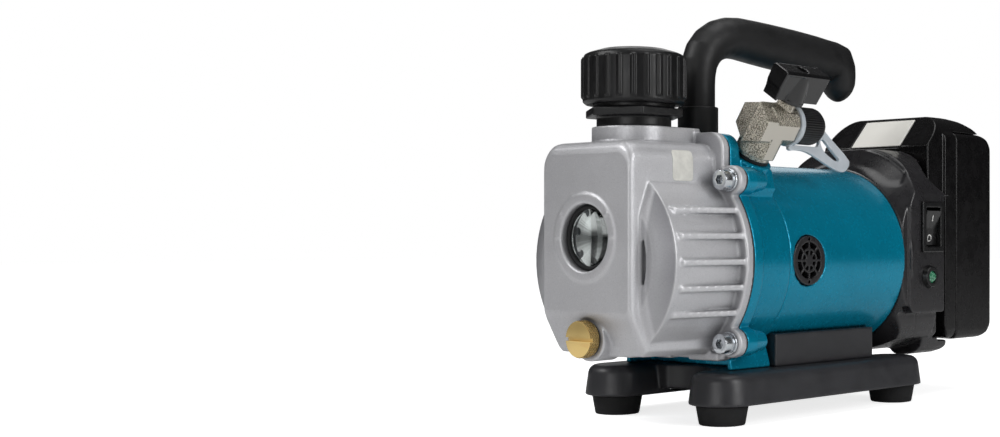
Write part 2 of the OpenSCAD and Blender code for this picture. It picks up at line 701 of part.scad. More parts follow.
// ---------- pump module ----------
pump_r = 34;                       // outside of stator and front plate
bore_r = 25;                       // stator bore
rotor_r = 21;
bore_offset = bore_r - rotor_r - clearance;  // stator bore above the shaft
stator_front = -80;
plate_front = -85.5;
vane_t = 3;
pump_screw_circle = 30.3;          // radius of the screw circle
pump_hole_r = 2.1;
reed_x = -14;                      // middle of the reed
reed_stop_front = -86.9;

module pump_stator() color([0.5, 0.5, 0.52]) difference() {
  cyl_y(stator_front, crank_front, pump_r);
  cyl_y(-81, -59, bore_r, z = axis_h + bore_offset);
  on_circle(pump_screw_circle) cyl_y(-81, -59, pump_hole_r, z = 0);
  // inlet slot
  cyl_y(-74, -59, inlet_r, x = inlet_x, z = axis_h + bore_offset + 22);
}
module pump_rotor() color(dull_steel) difference() {
  cyl_y(stator_front + clearance, crank_front - clearance, rotor_r);
  cyl_y(-81, -59, shaft_r);
  bars_y(-81, [0, 180], 8.4, [14, 23, vane_t + 0.06]);
}
module vanes() color([0.2, 0.2, 0.21])
  bars_y(stator_front + 2 * clearance, [0, 180], 11.6,
    [9.2, crank_front - stator_front - 4 * clearance, vane_t]);
// Four coils for each spring, two springs under each vane
module vane_springs() color([0.8, 0.8, 0.8])
  for (y = [-75, -65]) around_y(y, [0, 180]) for (i = [0 : 3])
    translate([8.8 + i * 0.75, 0, 0]) rotate([0, 90, 0])
      rotate_extrude($fn = 24) translate([0.9, 0]) circle(0.28, $fn = 16);
module pump_front_plate() color([0.52, 0.52, 0.54]) difference() {
  cyl_y(plate_front, stator_front, pump_r);
  cyl_y(-88, -79, shaft_r + clearance);
  // outlet under the reed
  cyl_y(-86, -79, 1.6, x = reed_x, z = axis_h + 19);
  on_circle(pump_screw_circle) cyl_y(-86, -79, pump_hole_r, z = 0);
}
module pump_screws() color(steel) on_circle(pump_screw_circle) difference() {
  union() {
    cyl_y(-89.5, plate_front, 3.5, z = 0);
    cyl_y(plate_front, -55, 1.95, z = 0);
  }
  cyl_y(-90, -87.4, 1.75, z = 0, $fn = 6);
}
module reed_valve() color([0.6, 0.62, 0.66])
  box(reed_x - 3, reed_x + 3, -85.9, plate_front, axis_h + 9.2, axis_h + 22);
module reed_stop() color([0.65, 0.65, 0.66]) difference() {
  union() {
    box(reed_x - 3.5, reed_x + 3.5, reed_stop_front, plate_front, axis_h + 2, axis_h + 9);
    // arm that leans away from the reed
    prism_x(reed_x - 3.5, reed_x + 3.5) polygon([[reed_stop_front, axis_h + 8.9],
      [-86.1, axis_h + 8.9], [-88.2, axis_h + 21.5], [-89, axis_h + 21.5]]);
    cyl_y(-89.4, reed_stop_front, 2.6, x = reed_x, z = axis_h + 5.5);
  }
  cyl_y(-90, -88.4, 1.2, x = reed_x, z = axis_h + 5.5);
}

// ---------- rear housing and panel ----------
housing_wall = 3;
hood_top = 127.5;
plate_back = 99;                   // rear face of the battery plate
panel_bottom = 44;
panel_top = 104.6;
rocker_y = 81.8;
rocker_z = 87.3;
rocker_tilt = 11;
lamp_y = 79.5;
lamp_z = 62.1;
lamp_r = 3.05;
contact_x = [-8, 0, 8];            // battery contacts

// Half section of the housing in X-Z, bottom to top: crowned floor, then faceted hood
function half_section(inset) = concat(
  [for (i = [0 : 8]) let (x = i * (34.4 - inset * 0.6) / 8)
    [x, 103.2 - sqrt(pow(80 - inset, 2) - x * x)]],
  [[37.1 - inset, 34.4 + inset * 0.4], [38.3 - inset, 37.9], [38.6 - inset, 41.4],
   [38.6 - inset, panel_bottom + inset], [panel_x - inset, panel_bottom + inset],
   [panel_x - inset, panel_top], [42.2 - inset, 109.5 - inset * 0.4],
   [39 - inset, 114.2 - inset * 0.5], [35 - inset, 118.6 - inset * 0.6],
   [30.4 - inset, 122.2 - inset * 0.8], [25 - inset, 125 - inset],
   [19.6 - inset, 126.8 - inset], [14 - inset, hood_top - inset], [0, hood_top - inset]]);
// Side outline of the hood: y, z
function hood_side(inset) = [[motor_back, 20], [motor_back, hood_top - inset],
  [92.4 - inset, hood_top - inset], [91.2 - inset, 124.4], [89.6 - inset, 121.8],
  [86.7 - inset, 119], [84.9 - inset, 115.8], [84.6 - inset, 112.4], [88.4 - inset, 108.2],
  [94.2 - inset, 104.4], [plate_back - inset, 103.6], [plate_back - inset, 20]];
module hood(inset = 0) intersection() {
  mirror_x() prism_y(motor_back, 99.4) polygon(concat(half_section(inset),
    [[-2, hood_top - inset], [-2, 23.2 + inset]]));
  union() {
    cyl_y(motor_back - 0.2, 75, motor_r + 0.2 - inset, r2 = 64 - inset);
    cyl_y(74.9, 99.5, 75);
  }
  prism_x(-60, 60) polygon(hood_side(inset));
}
// Rounded lug below the battery
module battery_lug() intersection() {
  prism_y(90, 115.5) union() {
    translate([17.6, 27.2]) circle(6.4);
    polygon([[17.6, 20.8], [24, 21.3], [28.6, 22.9], [31.6, 25.4], [33, 28.8], [33, 30],
      [11.2, 30], [11.2, 27.2]]);
  }
  prism_z(18, 40) round_rect(8, 33.6, 84, 115.5, 6);
  prism_x(0, 60) polygon([[88, 10], [88, 40], [99, 40], [105, 28], [115, 28], [115, 24],
    [111, 20.6], [104, 10]]);
}
// Cuts that leave the +X side panel standing out, with round lower corners
module panel_relief() {
  box(43.3, 60, motor_back - 1, 63.7, panel_bottom, 103.2);
  prism_z(28, 103.3) polygon([[35.8, 101], [35.8, 94.6], [panel_x - 1.2, 94.6],
    [panel_x + 1, 92.2], [60, 92.2], [60, 101]]);
  difference() {
    union() {
      box(38.8, 60, 61, 67.4, 43, 47.8);
      box(38.8, 60, 90, 101, 43, 46.4);
    }
    cyl_x(38, 61, 3.8, y = 67.4, z = 47.8);
    box(38, 61, 89, 91.9, 42, 48);
    cyl_x(38, 61, 2.4, y = 91.9, z = 46.4);
  }
}
// Groove round the lower part of the housing at the joint of its two halves
module joint_line() difference() {
  box(-50, 50, 76, 76.7, 20, panel_bottom);
  mirror_x() prism_y(75, 78) polygon(concat(
    [for (q = half_section(0)) if (q[1] < panel_bottom) [q[0] * 0.985, q[1] + 0.7]],
    [[38, 46], [-2, 46], [-2, 23.9]]));
}
module rocker_block(x0, x1, size)
  prism_x(x0, x1) translate([rocker_y, rocker_z]) square(size, center = true);

module rear_housing() color(shell_black) difference() {
  union() {
    cyl_y(motor_back, 66, motor_r + 0.3);
    hood();
    // battery plate with its two rails
    prism_y(92, plate_back) round_rect(-34.5, 34.5, 29, 103.2, 8);
    mirror_x() box(25.3, 30, 98, 104.9, 34, 103);
    mirror_x() box(21.4, 26, 103, 104.9, 34, 103);
    mirror_x() battery_lug();
  }
  // room inside
  cyl_y(motor_back - 1, 81, motor_r - housing_wall);
  intersection() {
    cyl_y(80, 90, motor_r - housing_wall);
    box(-50, 50, 79, 91, 20, 104.2);
  }
  mirror_x() box(panel_x, 60, 65.5, 99.5, panel_bottom, panel_top);
  intersection() {
    hood(housing_wall);
    box(-33, 33, 63, 81, 60, 125);
  }
  mirror_x() box(15, panel_x - housing_wall, 66, 90, 47.5, 101.5);
  mirror_x() panel_relief();
  // switch and lamp openings
  rocker_block(panel_x - 4, panel_x + 2, [15.2, 22.2]);
  cyl_x(panel_x - 4, panel_x + 2, 4.3, y = lamp_y, z = lamp_z);
  joint_line();
  // latch slot and terminal window
  box(-14.5, 14.5, 80.5, 101, 112.5, 117.5);
  box(-12, 12, 88, 101, 60, 84);
}
module rocker_bezel() color(black) difference() {
  union() {
    prism_x(panel_x, panel_x + 1.6) translate([rocker_y, rocker_z])
      round_rect(-9.2, 9.2, -12.8, 12.8, 1);
    rocker_block(panel_x - 12, panel_x, [15, 22]);
  }
  rocker_block(panel_x - 10.5, panel_x + 3, [12.6, 19.8]);
}
module rocker() color([0.08, 0.08, 0.08])
  translate([panel_x - 3, 0, rocker_z]) rotate([0, rocker_tilt, 0]) difference() {
    prism_y(rocker_y - 6.1, rocker_y + 6.1) polygon([[-5, -7], [1.2, -9.1], [3.4, -9.0],
      [2.4, 0], [3.4, 9.0], [1.2, 9.1], [-5, 7]]);
    // sunk I and O marks on the two halves of the face
    translate([2.9, rocker_y - 0.4, 3.4]) cube([2, 0.8, 3.4]);
    translate([2.4, rocker_y, -5.2]) rotate([0, 90, 0]) ring_z(0, 2, 1.9, 1.2);
  }
module lamp_bezel() color(soft_black) difference() {
  union() {
    cyl_x(panel_x, panel_x + 2.6, 5.9, y = lamp_y, z = lamp_z, r2 = 5.1);
    cyl_x(panel_x - 8, panel_x, 4.25, y = lamp_y, z = lamp_z);
  }
  cyl_x(panel_x - 9, panel_x + 4, lamp_r + clearance, y = lamp_y, z = lamp_z);
}
module lamp_lens() color([0.1, 0.5, 0.35]) {
  cyl_x(panel_x - 7, panel_x + 1.8, lamp_r, y = lamp_y, z = lamp_z);
  cyl_x(panel_x + 1.8, panel_x + 3.4, lamp_r, y = lamp_y, z = lamp_z, r2 = 1.5);
}
module control_board() color([0.1, 0.35, 0.15]) {
  board_back = 85.6;
  box(-26, 26, 84, board_back, 56, 104);
  box(-20, -6, 76, 84, 64, 80);
  box(4, 18, 78, 84, 84, 98);
  // contact blades towards the battery
  for (x = contact_x) box(x - 0.5, x + 0.5, board_back, 103.5, 66, 78);
}

// ---------- battery ----------
batt_bottom = 28;
batt_top = 137.6;
shell_front = 107.6;               // front face of the upper shell
shell_bottom = 28.4;
slope_low = [93.8, 130.3];         // ends of the sloping hump face: y, z
slope_high = [109.4, 146.1];
cell_r = 9.1;
cell_pitch = 19.6;

module battery_case() color(black) difference() {
  intersection() {
    prism_z(20, 150) union() {
      translate([-batt_half, 118]) square([2 * batt_half, batt_back - 118 - 4]);
      round_rect(-batt_half, batt_half, 125, batt_back, 3);
    }
    prism_y(110, 160) round_rect(-batt_half, batt_half, batt_bottom, batt_top, 4);
    prism_x(-60, 60) union() {
      translate([118, batt_bottom]) square([18, batt_top - batt_bottom]);
      round_rect(120, batt_back, batt_bottom, batt_top, 13);
    }
  }
  intersection() {
    prism_y(117, batt_back - 2.6) round_rect(-batt_half + 2.4, batt_half - 2.4, 31, 134, 6);
    prism_x(-60, 60) round_rect(100, batt_back - 2.6, 30.6, 135, 10.4);
  }
}
module shell_solid() {
  intersection() {
    prism_y(shell_front, 117.5)
      round_rect(-batt_half + 0.1, batt_half - 0.1, shell_bottom, 138.4, 5);
    prism_x(-60, 60) polygon([[shell_front, 36], [108.3, 33], [109.8, 30.8], [112.2, 29.2],
      [116, shell_bottom], [120, shell_bottom], [120, 150], [shell_front, 150]]);
  }
  prism_y(117.4, 118) round_rect(-batt_half + 0.9, batt_half - 0.9, 29.2, 137.7, 4);
  // hump that holds the release button
  intersection() {
    prism_x(-60, 60) polygon([slope_low, slope_high, [121, 146.1], [131, 144.2],
      [139, 140.6], [143, 137.7], [117.9, 137.7], [117.9, 96], [100, 96], [100, 105],
      [93.6, 109.2], [93.6, slope_low[1] - 0.6]]);
    prism_y(90, 150) round_rect(-34.2, 34.2, 60, 146.1, 13);
  }
  // sliding block
  box(-24.8, 24.8, 101, 107.5, 34, 114);
}
// Room for the button and its travel
module button_room() {
  room_back = slope_high[0] + 4.6 + button_travel;
  prism_x(-16.2, 16.2) polygon([[90, 129.6], [90, 145], slope_high - [1.2, 1.2],
    [slope_high[0] + 3, slope_high[1] - 1.2], [room_back, slope_high[1] - 2.4],
    [room_back, 129.6]]);
}
module battery_upper_shell() color([0.055, 0.055, 0.06]) difference() {
  shell_solid();
  // side grooves for the rails
  mirror_x() box(21.2, 26, 102.8, 105.1, 30, 118);
  mirror_x() box(24, 36, 99, 105.1, 30, 104.6);
  // cell room
  prism_y(110.6, 119) round_rect(-31.4, 31.4, 32.5, 134, 3);
  button_room();
  for (x = contact_x) box(x - 1.1, x + 1.1, 100, 105, 30, 82);
}
module battery_button() color([0.82, 0.82, 0.8]) prism_x(-16, 16)
  polygon([[slope_low[0] + 0.2, 130], slope_low + [0.1, 0.1], slope_high - [1.4, 1.4],
    slope_high + [4, -2.8], [slope_high[0] + 4, 131.9],
    [slope_high[0] - 3, 131.9], [slope_high[0] - 5, 130]]);
module battery_cells() color([0.15, 0.35, 0.6]) for (y = [120.4, 139.4], i = [0 : 4])
  cyl_x(-30.9, 30.9, cell_r, y = y, z = 43.4 + i * cell_pitch);

// ---------- base ----------
pad_edge_r = 4.5;                  // rounding of the top edge
pad_top_r = pad_r - 1.3;
foot_head_top = 4;                 // upper faces of the screw heads
crank_head_top = 17;
motor_head_top = 18.5;

// Round corner block with a rounded top edge
module pad() {
  edge_z = base_top - pad_edge_r;
  cyl_z(foot_h, edge_z, pad_r, r2 = pad_top_r, $fn = 48);
  translate([0, 0, edge_z]) rotate_extrude($fn = 48)
    translate([pad_top_r - pad_edge_r, 0]) circle(pad_edge_r, $fn = 24);
  cyl_z(edge_z, base_top, pad_top_r - pad_edge_r, $fn = 48);
}
module base_frame() color([0.08, 0.08, 0.085]) difference() {
  union() {
    for (s = [-1, 1]) hull()
      for (t = [-1, 1]) translate([s * foot_x, t * foot_y, 0]) pad();
    // recessed middle with hollow corners at each end
    difference() {
      prism_z(11.4, base_top) translate([-24, -50]) square([48, 100]);
      for (s = [-1, 1]) cyl_z(10, 30, 18.2, y = s * 62.5);
    }
  }
  // hollow rails and middle
  mirror_x() prism_z(foot_h - 1, 18.5) round_rect(24, 43.5, -42, 42, 4);
  prism_z(10, 17) round_rect(-13, 13, -36, 36, 4);
  // screw holes, the inner ones with room for the heads
  at_feet() cyl_z(5, 17, 2);
  at_pair(crank_screw) {
    cyl_z(10, 25, 2.6);
    cyl_z(10, crank_head_top, 4.6);
  }
  at_pair(motor_screw) {
    cyl_z(5, 25, 2.6);
    cyl_z(5, motor_head_top, 4.6);
  }
}
module rubber_feet() color(black) at_feet() difference() {
  cyl_z(0, foot_h, 10.2, r2 = 11.8);
  cyl_z(-1, foot_head_top, 4.4);
  cyl_z(-1, 11, 2.2);
}
// Screw pointing up, its head below the given height
module base_screw(head_top, head_t, head_r, length, r) {
  cyl_z(head_top - head_t, head_top, head_r);
  cyl_z(head_top, head_top + length, r);
}
module base_screws() color(dull_steel) {
  at_feet() base_screw(foot_head_top, 2.4, 3.6, 12, 1.95);
  at_pair(crank_screw) base_screw(crank_head_top, 4.5, 4.2, 16, 2.45);
  at_pair(motor_screw) base_screw(motor_head_top, 4.5, 4.2, 12, 2.45);
}

oil_case();
cover_gasket();
case_bolts();
bolt_washers();
sight_lens();
sight_reflector();
sight_oring();
drain_plug();
drain_washer();
filler_cap();
cap_seal();
filler_adapter();
mist_filter();
handle();
handle_collar();
handle_stud();
crankcase();
intake_valve_body();
valve_seal_washer();
valve_ball();
valve_stem();
valve_knob();
port_cap();
port_seal();
cap_strap();
motor_housing();
vent_grille();
motor_foot();
field_magnets();
armature();
motor_shaft();
commutator();
brushes();
front_bearing();
rear_bearing();
cooling_fan();
motor_end_bell();
shaft_seal();
pump_stator();
pump_rotor();
vanes();
vane_springs();
pump_front_plate();
reed_valve();
reed_stop();
pump_screws();
rear_housing();
rocker_bezel();
rocker();
lamp_bezel();
lamp_lens();
control_board();
battery_case();
battery_upper_shell();
battery_cells();
battery_button();
base_frame();
rubber_feet();
base_screws();
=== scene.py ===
# Looks for the cordless vacuum pump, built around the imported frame.
# The pump stands on z = 0 with its shaft along Y. The oil case with its sight glass and drain
# faces -Y, the hooded rear housing and the battery lie towards +Y.
import json
import math
import bpy
import bmesh
import numpy as np
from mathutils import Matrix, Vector
from mathutils.bvhtree import BVHTree

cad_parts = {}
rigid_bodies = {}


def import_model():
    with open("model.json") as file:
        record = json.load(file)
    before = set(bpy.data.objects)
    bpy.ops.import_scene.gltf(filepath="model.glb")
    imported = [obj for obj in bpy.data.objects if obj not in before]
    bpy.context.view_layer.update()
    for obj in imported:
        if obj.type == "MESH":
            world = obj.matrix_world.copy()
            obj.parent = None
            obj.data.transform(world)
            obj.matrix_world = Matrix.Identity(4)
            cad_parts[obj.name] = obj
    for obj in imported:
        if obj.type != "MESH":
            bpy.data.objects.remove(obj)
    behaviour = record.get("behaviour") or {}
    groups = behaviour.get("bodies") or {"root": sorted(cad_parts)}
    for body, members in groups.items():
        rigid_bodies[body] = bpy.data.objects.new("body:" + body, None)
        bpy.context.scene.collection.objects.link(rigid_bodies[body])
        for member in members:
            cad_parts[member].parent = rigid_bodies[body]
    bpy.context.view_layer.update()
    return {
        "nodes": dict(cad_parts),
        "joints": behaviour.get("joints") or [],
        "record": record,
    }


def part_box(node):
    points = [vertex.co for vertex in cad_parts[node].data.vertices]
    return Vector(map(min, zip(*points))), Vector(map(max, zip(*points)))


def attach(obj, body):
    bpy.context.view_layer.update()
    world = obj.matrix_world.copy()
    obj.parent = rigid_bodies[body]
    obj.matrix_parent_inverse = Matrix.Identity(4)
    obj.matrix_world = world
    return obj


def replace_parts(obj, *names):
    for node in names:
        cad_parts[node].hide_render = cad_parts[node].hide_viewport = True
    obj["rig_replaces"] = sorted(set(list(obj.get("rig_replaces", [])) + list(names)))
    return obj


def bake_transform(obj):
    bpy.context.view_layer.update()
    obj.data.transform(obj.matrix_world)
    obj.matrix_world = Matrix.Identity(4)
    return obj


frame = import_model()
scene = bpy.context.scene
MM = 0.001

NODES = frame["nodes"]
RECORD = frame["record"]
SLOT = {part["node"]: part["material_slot"] for part in RECORD["subparts"]}
BODY = {node: body for body, nodes in RECORD["behaviour"]["bodies"].items() for node in nodes}
JOINTS = {joint["name"]: joint for joint in frame["joints"]}

WELD_GAP = 2e-6                                # m, vertices closer than this are merged
COARSER = 1.0           # larger voxels on the big pieces for trial runs


def front_centre(node):
    """Centre of a node's -Y face."""
    low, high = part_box(node)
    return (low.x + high.x) / 2, low.y, (low.z + high.z) / 2


AXIS_Z = JOINTS["shaft_spin"]["pos_m"][2]
SIGHT_CENTRE = front_centre("sight_oring")
DRAIN_CENTRE = front_centre("drain_plug")
drain_low, drain_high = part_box("drain_plug")
KNURL_ROOT = (drain_high.x - drain_low.x) / 2 - 0.00045

# The valve's own frame: its spindle axis, +Y, and the direction its side flats face.
VALVE_ORIGIN = Vector(JOINTS["valve_turn"]["pos_m"])
VALVE_AXIS = Vector(JOINTS["valve_turn"]["axis"]).normalized()
VALVE_Y = Vector((0, 1, 0))
VALVE_SIDE = VALVE_Y.cross(VALVE_AXIS).normalized()


# ------------------------------------------------------------------ shader helpers
def lin(rgb):
    """sRGB 0-255 to linear, with full alpha."""
    out = []
    for v in rgb:
        v = v / 255.0
        out.append(v / 12.92 if v <= 0.04045 else ((v + 0.055) / 1.055) ** 2.4)
    return tuple(out) + (1.0,)


def shade(colour, factor, lift=0.0):
    """A linear colour made darker or lighter."""
    return tuple(min(1.0, v * factor + lift) for v in colour[:3]) + (1.0,)


class Nodes:
    """Builds a node tree. Any value may be a number, a tuple or another node's output."""

    def __init__(self, owner):
        owner.use_nodes = True
        self.tree = owner.node_tree

    def feed(self, socket, value):
        if isinstance(value, bpy.types.NodeSocket):
            self.tree.links.new(value, socket)
        else:
            socket.default_value = value

    def fill(self, node, **inputs):
        """Feed inputs by name, with underscores for spaces."""
        for name, value in inputs.items():
            self.feed(node.inputs[name.replace("_", " ")], value)
        return node

    def node(self, kind, **inputs):
        return self.fill(self.tree.nodes.new("ShaderNode" + kind), **inputs)

    def math(self, operation, *values):
        node = self.node("Math")
        node.operation = operation
        for socket, value in zip(node.inputs, values):
            self.feed(socket, value)
        return node.outputs[0]

    def times(self, a, b):
        return self.math("MULTIPLY", a, b)

    def remap(self, value, span, to=(0.0, 1.0)):
        return self.node("MapRange", Value=value, From_Min=span[0], From_Max=span[1],
                         To_Min=to[0], To_Max=to[1]).outputs["Result"]

    def split(self, vector):
        return self.node("SeparateXYZ", Vector=vector).outputs


class Mat(Nodes):
    """One material on a Principled shader, textured in object coordinates (metres)."""

    def __init__(self, name):
        self.material = bpy.data.materials.new(name)
        super().__init__(self.material)
        self.shader = self.tree.nodes["Principled BSDF"]
        self.place = self.node("TexCoord").outputs["Object"]

    def set(self, **inputs):
        """Feed the Principled shader and return the material."""
        self.fill(self.shader, **inputs)
        return self.material

    def noise(self, scale, detail=3.0, rough=0.55, place=None, stretch=None):
        source = place or self.place
        if stretch:
            source = self.node("Mapping", Scale=stretch, Vector=source).outputs["Vector"]
        return self.node("TexNoise", Scale=scale, Detail=detail, Roughness=rough,
                         Vector=source).outputs["Fac"]

    def drift(self, scale, detail, span=(0.3, 0.7), to=(0.0, 1.0), rough=0.55):
        """Noise stretched from its span to a chosen range."""
        return self.remap(self.noise(scale, detail, rough), span, to)

    def mix(self, factor, a, b, blend="MIX"):
        node = self.node("Mix")
        node.data_type = "RGBA"
        node.blend_type = blend
        for i, value in ((0, factor), (6, a), (7, b)):    # 6 and 7 are the colour inputs
            self.feed(node.inputs[i], value)
        return node.outputs[2]

    def cover(self, under, mask, amount, colour):
        """Lay a colour over another where the mask is 1."""
        return self.mix(self.times(mask, amount), under, colour)

    def bump(self, height, strength, distance, under=None):
        node = self.node("Bump", Strength=strength, Distance=distance, Height=height)
        if under is not None:
            self.fill(node, Normal=under)
        return node.outputs["Normal"]

    def grain(self, scale, detail, strength, distance, rough=0.55, under=None):
        """Noise as relief, distance in metres."""
        return self.bump(self.noise(scale, detail, rough), strength, distance, under)

    def edges(self, span=(0.505, 0.56)):
        """1 on convex edges."""
        return self.remap(self.node("NewGeometry").outputs["Pointiness"], span)

    def painted_hollow_shade(self, reach, span):
        """Mask for painted shade: 1 in hollows, 0 in the open; reach in mm."""
        node = self.node("AmbientOcclusion", Distance=reach * MM)
        node.samples = 6
        return self.remap(node.outputs["AO"], span)


# ------------------------------------------------------------------ materials
def plastic(name, rgb, rough, grain, relief, mottle, coat, wear, specular):
    """Moulded plastic: fine texture, slight mottling, polish and paler wear on edges."""
    mat = Mat(name)
    base = lin(rgb)
    colour = mat.mix(mat.drift(scale=38, detail=4, span=(0.35, 0.68)),
                     shade(base, 1 - mottle), shade(base, 1 + mottle, lift=0.002))
    worn = mat.times(mat.edges(span=(0.51, 0.60)),
                     mat.drift(scale=420, detail=3, span=(0.35, 0.7), to=(0.15, 1.0)))
    colour = mat.cover(colour, worn, wear, shade(base, 1.9, lift=0.012))
    roughness = mat.drift(scale=160, detail=5, to=(rough - 0.07, rough + 0.07))
    polish = 0.08
    roughness = mat.math("SUBTRACT", roughness, mat.times(worn, polish))
    normal = mat.grain(scale=260, detail=2, strength=0.05, distance=0.0002)
    normal = mat.grain(scale=grain, detail=2, rough=0.6, strength=relief, distance=0.00012,
                       under=normal)
    return mat.set(Base_Color=colour, Roughness=roughness, Normal=normal,
                   Specular_IOR_Level=specular, Coat_Weight=coat, Coat_Roughness=0.12)


def metal(name, rgb, rough, metallic, grain, relief, mottle, stretch, wear):
    """Plated or ground metal: fine even or stretched grain, tone patches, brighter edges."""
    mat = Mat(name)
    base = lin(rgb)
    colour = mat.mix(mat.drift(scale=90, detail=4, span=(0.35, 0.65)),
                     shade(base, 1 - mottle), shade(base, 1 + mottle))
    colour = mat.cover(colour, mat.edges(), wear, shade(base, 1.35, lift=0.05))
    # painted shade: the base colour darkened in hollows
    colour = mat.cover(colour, mat.painted_hollow_shade(reach=3.0, span=(0.8, 0.2)), 0.75, shade(base, 0.18))
    fine = mat.noise(grain, detail=2, rough=0.6, stretch=stretch)
    roughness = mat.math("ADD",
                         mat.drift(scale=240, detail=4, to=(rough - 0.06, rough + 0.06)),
                         mat.remap(fine, span=(0.3, 0.7), to=(-0.04, 0.04)))
    return mat.set(Base_Color=colour, Roughness=roughness, Metallic=metallic,
                   Normal=mat.bump(fine, strength=relief, distance=0.0001))


def cast_aluminium():
    """Satin sand-textured casting: mottled, with paler edges and painted shade in creases and
    hollows.
    """
    mat = Mat("cast_aluminium")
    colour = mat.mix(mat.drift(scale=26, detail=4), lin((188, 188, 191)), lin((202, 202, 205)))
    geometry = mat.node("NewGeometry").outputs
    # mask, amount, colour of each layer: sparkle, dark grains, edges, painted shade in creases,
    # painted shade in hollows
    layers = (
        (mat.drift(scale=1900, detail=2, rough=0.7, span=(0.56, 0.70)), 0.30, (232, 232, 234)),
        (mat.drift(scale=1500, detail=3, rough=0.7, span=(0.44, 0.30)), 0.35, (138, 139, 143)),
        (mat.edges(span=(0.508, 0.56)), 0.55, (226, 226, 227)),
        (mat.remap(geometry["Pointiness"], span=(0.492, 0.44)), 0.35, (128, 129, 132)),
        (mat.painted_hollow_shade(reach=9, span=(0.85, 0.25)), 0.8, (96, 97, 101)),
    )
    for mask, amount, rgb in layers:
        colour = mat.cover(colour, mask, amount, lin(rgb))

    # painted shade on the sunk crescents beside the box, darkest in the outer band and the upper
    # part, lighter towards the bottom
    place = mat.split(mat.place)
    side = mat.math("ABSOLUTE", place["X"])
    height = mat.math("SUBTRACT", place["Z"], AXIS_Z)
    radius = mat.math("SQRT", mat.math("ADD", mat.times(side, side), mat.times(height, height)))
    facing = mat.split(geometry["Normal"])["Y"]
    sunk = mat.times(mat.remap(side, span=(0.0312, 0.0325)),
                     mat.remap(facing, span=(-0.35, -0.85)))
    sunk = mat.times(sunk, mat.remap(place["Y"], span=(-0.098, -0.1015)))
    tone = mat.times(mat.remap(radius, span=(0.034, 0.046), to=(0.45, 1.0)),
                     mat.remap(height, span=(-0.034, -0.006), to=(0.35, 1.0)))
    colour = mat.cover(colour, mat.times(sunk, tone), 0.85, lin((112, 112, 117)))

    normal = mat.grain(scale=820, detail=3, rough=0.65, strength=0.22, distance=0.00022)
    normal = mat.grain(scale=2300, detail=2, rough=0.6, strength=0.22, distance=0.00010,
                       under=normal)
    normal = mat.grain(scale=60, detail=2, strength=0.12, distance=0.0006, under=normal)
    return mat.set(Base_Color=colour, Normal=normal, Metallic=0.5, Specular_IOR_Level=0.5,
                   Roughness=mat.drift(scale=700, detail=4, to=(0.38, 0.52)))


def teal_paint():
    """Gloss paint over a casting: clear coat, slight orange peel, colour drift, thin edges."""
    mat = Mat("teal_paint")
    colour = mat.mix(mat.drift(scale=22, detail=3), lin((0, 132, 163)), lin((0, 142, 174)))
    # mask, amount, colour of each layer: edges, flecks, painted shade in hollows, which also
    # draws the dark seam between the castings
    layers = (
        (mat.edges(span=(0.512, 0.58)), 0.15, (60, 158, 180)),
        (mat.drift(scale=3600, detail=1, rough=0.5, span=(0.60, 0.72)), 0.06, (70, 170, 190)),
        (mat.painted_hollow_shade(reach=1.6, span=(0.8, 0.3)), 0.85, (0, 34, 42)),
    )
    for mask, amount, rgb in layers:
        colour = mat.cover(colour, mask, amount, lin(rgb))
    peel = mat.grain(scale=330, detail=2, rough=0.5, strength=0.03, distance=0.0003)
    coat_peel = mat.grain(scale=210, detail=2, rough=0.5, strength=0.025, distance=0.0003)
    return mat.set(Base_Color=colour, Roughness=mat.drift(scale=300, detail=4, to=(0.22, 0.30)),
                   Normal=peel, Coat_Normal=coat_peel, Metallic=0.45, Coat_Weight=0.22,
                   Coat_Roughness=0.07, Specular_IOR_Level=0.15)


def nickel():
    """Blasted nickel plate: coarse sparkle on raw faces, smooth on the valve's side flats."""
    mat = Mat("nickel")
    dot = mat.node("VectorMath")
    dot.operation = "DOT_PRODUCT"
    mat.feed(dot.inputs[0], mat.node("NewGeometry").outputs["True Normal"])
    mat.feed(dot.inputs[1], tuple(VALVE_SIDE))
    flat = mat.remap(mat.math("ABSOLUTE", dot.outputs["Value"]), span=(0.985, 0.997))
    raw = mat.math("SUBTRACT", 1.0, flat)
    spark = mat.noise(scale=1900, detail=3, rough=0.75)
    colour = mat.mix(mat.remap(spark, span=(0.42, 0.58)), lin((86, 80, 68)), lin((226, 219, 203)))
    colour = mat.mix(flat, colour, lin((222, 217, 206)))
    colour = mat.cover(colour, mat.edges(span=(0.515, 0.58)), 0.6, lin((236, 232, 222)))
    normal = mat.bump(spark, strength=mat.times(raw, 0.9), distance=0.00035)
    normal = mat.grain(scale=4200, detail=2, strength=0.05, distance=0.0001, under=normal)
    return mat.set(Base_Color=colour, Normal=normal, Metallic=0.95,
                   Roughness=mat.remap(flat, span=(0, 1), to=(0.36, 0.30)))


